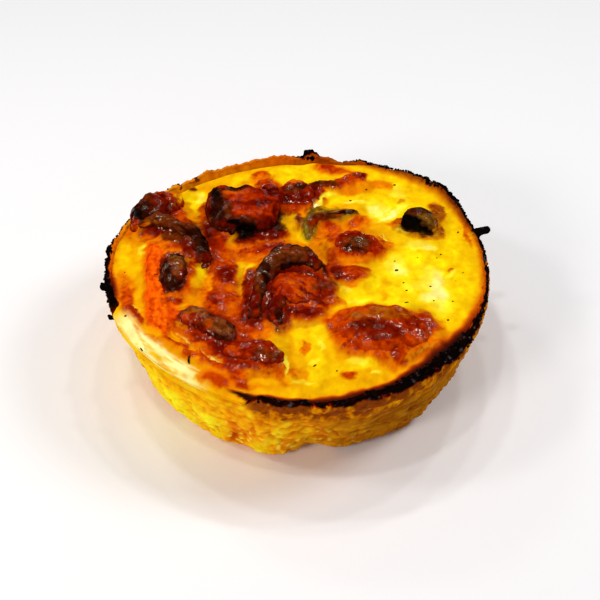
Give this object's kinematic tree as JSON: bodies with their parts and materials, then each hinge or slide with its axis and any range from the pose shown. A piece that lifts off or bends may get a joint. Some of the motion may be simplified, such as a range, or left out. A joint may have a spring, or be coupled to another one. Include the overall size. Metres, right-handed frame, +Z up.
{
  "type": "quiche",
  "caption": "Small uncut baked quiche: leaning shortcrust shell with a charred rim, uneven egg custard top and roasted filling pieces standing out of it.",
  "frame": {"origin": "centre of the flat base, on the surface that the quiche stands on", "axes": "+Z up through the filling, +X to the right and +Y away from the side that faces the viewer"},
  "size_m": [0.1066, 0.1068, 0.0368],
  "materials": {
    "pastry": "greasy baked shortcrust, black and crumbly at the crest",
    "egg_custard": "baked egg custard, satin, browned in patches",
    "browned_filling": "glossy dark browned crust on a roasted piece",
    "dark_filling": "glossy near-black roasted skin",
    "orange_filling": "moist orange roasted flesh",
    "red_filling": "glazed dark red roasted piece"
  },
  "bodies": {
    "root": {"crust": "pastry", "custard": "egg_custard", "roast_cap": "browned_filling", "arched_strip": "dark_filling", "orange_slab": "orange_filling", "dark_nub": "dark_filling", "roast_block": "browned_filling", "glazed_bead": "red_filling", "browned_peak": "browned_filling", "mushroom_slice": "dark_filling", "olive_cap": "browned_filling", "curled_strip": "dark_filling", "curl_flesh": "orange_filling", "inner_strip": "dark_filling", "red_bar": "red_filling", "glazed_chunk_left": "browned_filling", "glazed_chunk_mid": "browned_filling", "browned_lump": "browned_filling", "mushroom_chunk": "dark_filling"}
  },
  "joints": []
}
